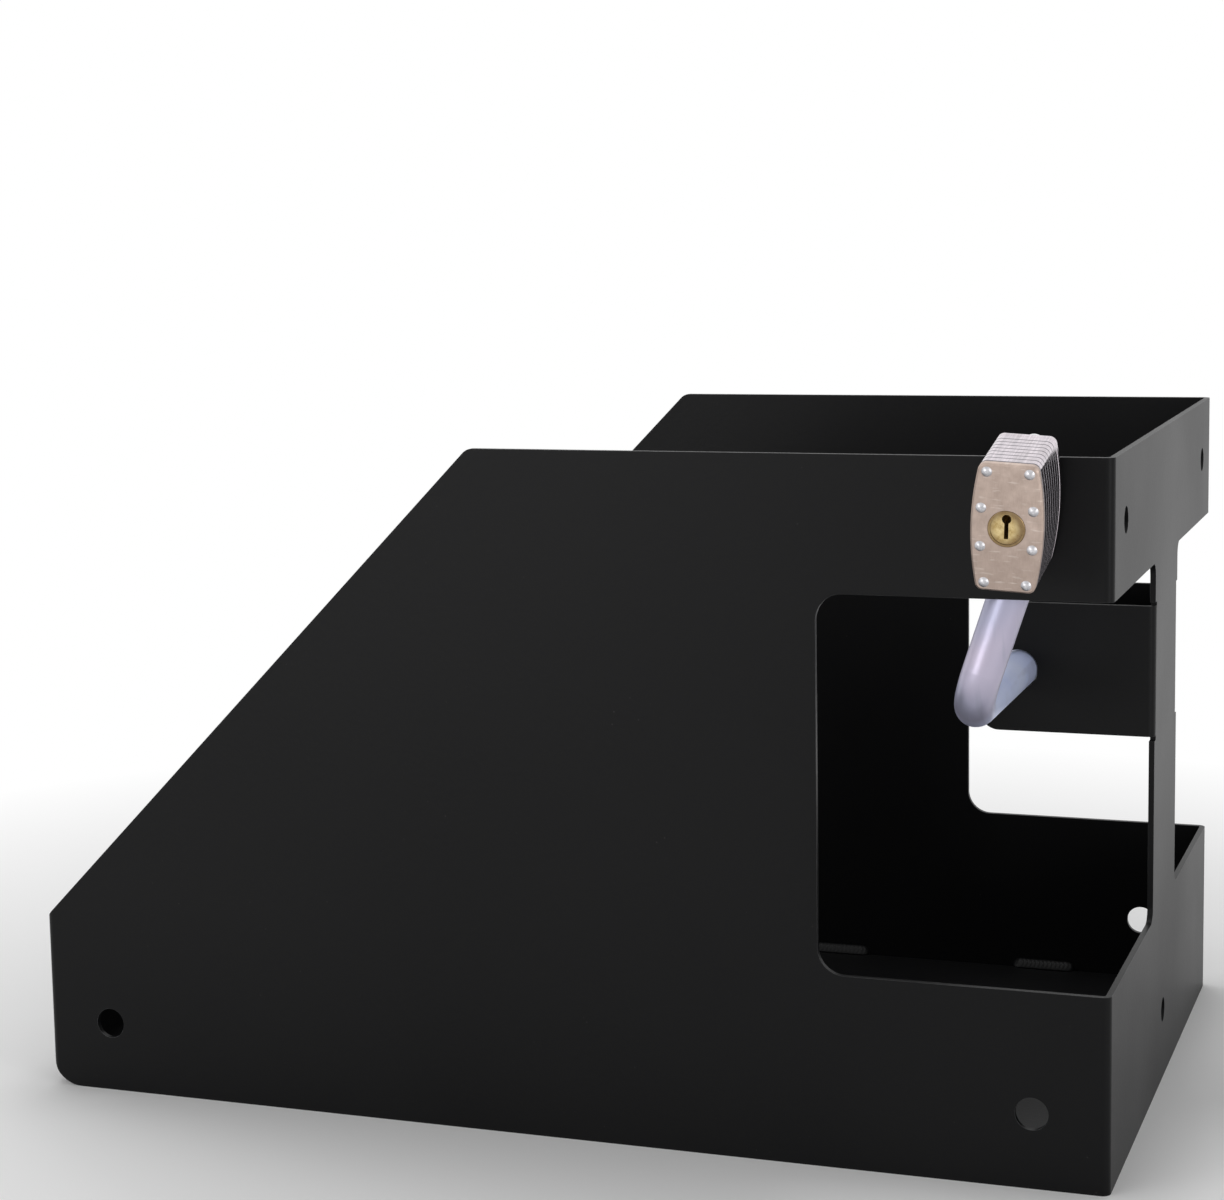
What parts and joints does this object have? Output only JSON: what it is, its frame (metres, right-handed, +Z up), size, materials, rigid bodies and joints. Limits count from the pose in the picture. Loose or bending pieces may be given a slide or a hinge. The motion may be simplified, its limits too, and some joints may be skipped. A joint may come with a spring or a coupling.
{
  "type": "lockable fuel container holder",
  "caption": "Open black sheet-steel holder for an upright fuel container, with sloping sides, corner windows, a bent locking rod and a laminated padlock.",
  "frame": {"origin": "middle of the rack's underside, half way along the folded sheet and half way across it", "axes": "+X along the rack from the low front lip to the tall end plate, +Y across it away from the lock, +Z up"},
  "size_m": [0.392, 0.2914, 0.2494],
  "materials": {
    "rack_paint": "satin black powder coat with a fine orange peel",
    "rod_zinc": "bright zinc plate",
    "lock_face": "warm grey plated steel, fine grain",
    "lock_steel": "plated laminated steel, bright rims",
    "rivet_steel": "bright steel",
    "lock_brass": "turned brass, lightly worn",
    "shackle_chrome": "hardened and plated, smooth"
  },
  "bodies": {
    "holder": {"rack_shell": "rack_paint", "floor_pan": "rack_paint", "stitch_welds": "rack_paint", "locking_rod": "rod_zinc", "lock_face_plate": "lock_face", "lock_inner_plates": "lock_steel", "lock_top_plate": "lock_steel", "lock_rivets": "rivet_steel", "lock_cylinder": "lock_brass", "shackle_spring": "rivet_steel"},
    "plug": {"key_plug": "lock_brass", "plug_cam": "rivet_steel"},
    "shackle_bar": {"shackle": "shackle_chrome"}
  },
  "joints": [
    {"name": "key_plug_turn", "type": "hinge", "parent": "holder", "child": "plug", "pos_m": [0.169, -0.16201, 0.22243], "axis": [0, 0.9799, 0.1994], "range_deg": [0, 90]},
    {"name": "shackle_slide", "type": "slide", "parent": "holder", "child": "shackle_bar", "axis": [0, 0.9799, 0.1994], "range_m": [0, 0.012]}
  ]
}
